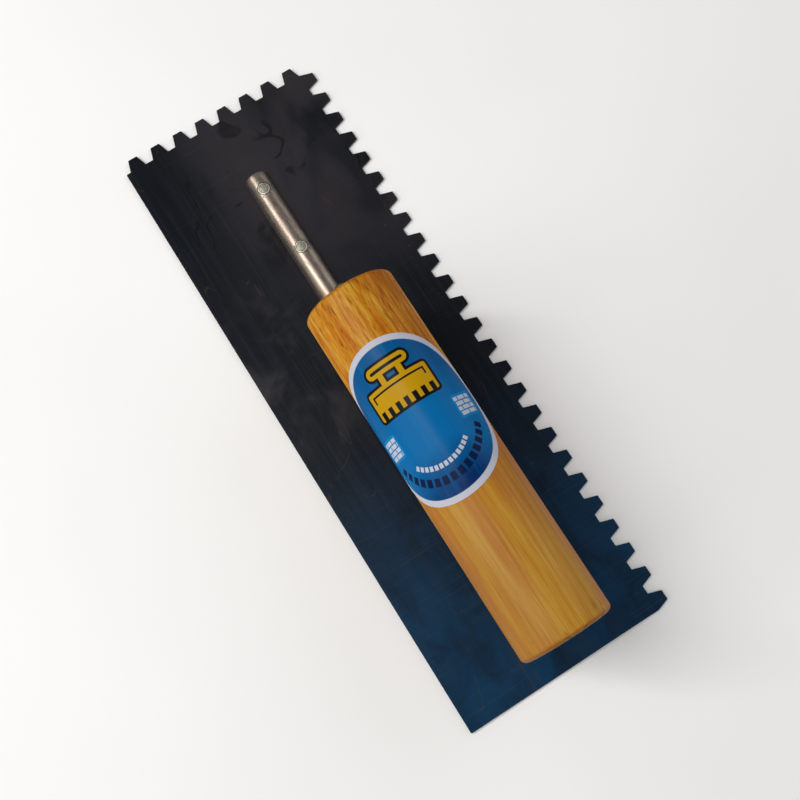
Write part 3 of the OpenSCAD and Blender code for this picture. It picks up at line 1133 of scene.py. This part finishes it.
def make_label(sizes, tones):
    """The oval film, wrapped round the handle, with its own flat map for the print."""
    around = 128
    rings = 26
    edge_crowding = 0.9
    length = sizes.label_length
    width = sizes.label_width
    middle_y = HANDLE_HIGH.y - sizes.label_front - length / 2
    under = HANDLE_RADIUS + sizes.label_gap
    work = bmesh.new()
    uv_layer = work.loops.layers.uv.new("print")
    flat = {}

    def point(share, turn, radius):
        across = width / 2 * share * math.sin(turn)
        along = length / 2 * share * math.cos(turn)
        roll = sizes.label_roll + across / HANDLE_RADIUS
        vert = on_handle(work, radius, roll, middle_y + along)
        flat[vert] = (across / width + 0.5, along / length + 0.5)
        return vert

    def sheet(radius):
        loops = [[point(0.0, 0.0, radius)]]
        for i in range(1, rings + 1):
            share = (i / rings) ** edge_crowding
            loops.append([point(share, 2 * math.pi * k / around, radius) for k in range(around)])
        return loops

    top = sheet(under + sizes.label_film)
    bottom = sheet(under)
    for loops in (top, bottom):
        for a, b in zip(loops, loops[1:]):
            skin(work, a, b)
    skin(work, top[-1], bottom[-1])
    bmesh.ops.recalc_face_normals(work, faces=work.faces)
    for face in work.faces:
        for loop in face.loops:
            loop[uv_layer].uv = flat[loop.vert]
    piece = piece_from(work, "oval_label", label_finish(tones, length, width))
    settle(piece, 40.0, ["label"])


# ---------- Stage ----------

FLOOR_Z = -0.2 * MM
LIGHT_TARGET = Vector((0.0, 0.0, 0.03))
WARM_WHITE = (1.0, 0.98, 0.95)
COOL_WHITE = (0.97, 0.98, 1.0)
SKY_COLOR = (0.93, 0.96, 1.0, 1.0)
# Power of the right light, as a share of the left one's
RIGHT_SHARE = 0.75
CAMERA_PLACE = Vector((-0.0454, -0.0977, 0.4253))
CAMERA_LOOK = Vector((0.1051, 0.1943, -0.9753))
CAMERA_UP = Vector((0.5222, 0.8239, 0.2204))


def make_floor(stage):
    """A wide pale floor just under the sole."""
    work = bmesh.new()
    bmesh.ops.create_grid(work, x_segments=24, y_segments=24, size=stage.floor_size / 2)
    bmesh.ops.translate(work, verts=work.verts, vec=(0.0, 0.0, FLOOR_Z))
    piece_from(work, "floor", floor_finish(stage.floor_color, stage.floor_haze_color))


def make_light(name, place, width, length, power, color):
    """A soft rectangular light, turned towards the trowel, with its length along Y."""
    lamp = bpy.data.lights.new(name, "AREA")
    lamp.shape = "RECTANGLE"
    lamp.size = width
    lamp.size_y = length
    lamp.energy = power
    lamp.color = color
    light = new_piece(name, lamp)
    light.location = place
    light.rotation_mode = "QUATERNION"
    light.rotation_quaternion = (Vector(place) - LIGHT_TARGET).to_track_quat("Z", "Y")


def make_camera(stage):
    """A camera held above the plain side of the rear half, looking down and forwards."""
    forward = CAMERA_LOOK.normalized()
    right = forward.cross(CAMERA_UP).normalized()
    turn = Matrix((right, right.cross(forward), -forward)).transposed()
    lens = bpy.data.cameras.new("camera")
    lens.lens = stage.lens
    lens.sensor_width = 36.0
    lens.clip_start = 0.01
    lens.clip_end = 50.0
    camera = new_piece("camera", lens)
    camera.matrix_world = Matrix.Translation(CAMERA_PLACE) @ turn.to_4x4()
    bpy.context.scene.camera = camera


def make_sky(strength):
    """An even pale light from all round."""
    world = bpy.data.worlds.new("studio")
    world.use_nodes = True
    back = world.node_tree.nodes["Background"]
    back.inputs["Color"].default_value = SKY_COLOR
    back.inputs["Strength"].default_value = strength
    bpy.context.scene.world = world


def make_stage(stage):
    """Floor, sky, three soft lights and the camera."""
    bpy.context.scene.view_settings.view_transform = "Standard"
    make_floor(stage)
    make_sky(stage.sky)
    make_light("key_light", place=(-0.5, 0.36, 0.96), width=0.14, length=0.9,
               power=stage.key, color=WARM_WHITE)
    make_light("left_light", place=(-1.05, 0.05, 0.85), width=0.8, length=1.3,
               power=stage.fill, color=WARM_WHITE)
    make_light("right_light", place=(1.6, 0.3, 0.9), width=1.0, length=1.2,
               power=stage.fill * RIGHT_SHARE, color=COOL_WHITE)
    make_camera(stage)


# ---------- Operators and panel ----------

def run(make, context):
    """Makes a piece with the scene's settings."""
    make(context.scene.trowel_sizes, context.scene.trowel_tones)
    return {"FINISHED"}


class TROWEL_OT_blade(bpy.types.Operator):
    """Make the notched blade"""

    bl_idname = "trowel.blade"
    bl_label = "Blade"

    def execute(self, context):
        return run(make_blade, context)


class TROWEL_OT_bar(bpy.types.Operator):
    """Make the half-round bar"""

    bl_idname = "trowel.bar"
    bl_label = "Half-round bar"

    def execute(self, context):
        return run(make_bar, context)


class TROWEL_OT_rivets(bpy.types.Operator):
    """Make the row of flush rivets"""

    bl_idname = "trowel.rivets"
    bl_label = "Rivets"

    def execute(self, context):
        return run(make_rivets, context)


class TROWEL_OT_neck(bpy.types.Operator):
    """Make the forged neck"""

    bl_idname = "trowel.neck"
    bl_label = "Neck"

    def execute(self, context):
        return run(make_neck, context)


class TROWEL_OT_handle(bpy.types.Operator):
    """Make the turned wooden handle"""

    bl_idname = "trowel.handle"
    bl_label = "Handle"

    def execute(self, context):
        return run(make_handle, context)


class TROWEL_OT_label(bpy.types.Operator):
    """Make the oval label round the handle"""

    bl_idname = "trowel.label"
    bl_label = "Label"

    def execute(self, context):
        return run(make_label, context)


class TROWEL_OT_stage(bpy.types.Operator):
    """Make the floor, the lights and the camera"""

    bl_idname = "trowel.stage"
    bl_label = "Stage"

    def execute(self, context):
        make_stage(context.scene.trowel_stage)
        return {"FINISHED"}


class TROWEL_PT_panel(bpy.types.Panel):
    """Lists the pieces and their settings"""

    bl_label = "Notched Trowel"
    bl_space_type = "VIEW_3D"
    bl_region_type = "UI"
    bl_category = "Trowel"

    def draw(self, context):
        for operator in OPERATORS:
            self.layout.operator(operator.bl_idname)
        for group in (context.scene.trowel_sizes, context.scene.trowel_tones,
                      context.scene.trowel_stage):
            box = self.layout.box()
            for name in group.__annotations__:
                box.prop(group, name)


OPERATORS = (
    TROWEL_OT_blade,
    TROWEL_OT_bar,
    TROWEL_OT_rivets,
    TROWEL_OT_neck,
    TROWEL_OT_handle,
    TROWEL_OT_label,
    TROWEL_OT_stage,
)
SETTINGS = {
    "trowel_sizes": TrowelSizes,
    "trowel_tones": TrowelTones,
    "trowel_stage": TrowelStage,
}


def register():
    for group in (*SETTINGS.values(), *OPERATORS, TROWEL_PT_panel):
        bpy.utils.register_class(group)
    for name, group in SETTINGS.items():
        setattr(bpy.types.Scene, name, PointerProperty(type=group))


def unregister():
    for name in SETTINGS:
        delattr(bpy.types.Scene, name)
    for group in reversed((*SETTINGS.values(), *OPERATORS, TROWEL_PT_panel)):
        bpy.utils.unregister_class(group)


def main():
    register()
    bpy.ops.trowel.blade()
    bpy.ops.trowel.bar()
    bpy.ops.trowel.rivets()
    bpy.ops.trowel.neck()
    bpy.ops.trowel.handle()
    bpy.ops.trowel.label()
    bpy.ops.trowel.stage()


if __name__ == "__main__":
    main()
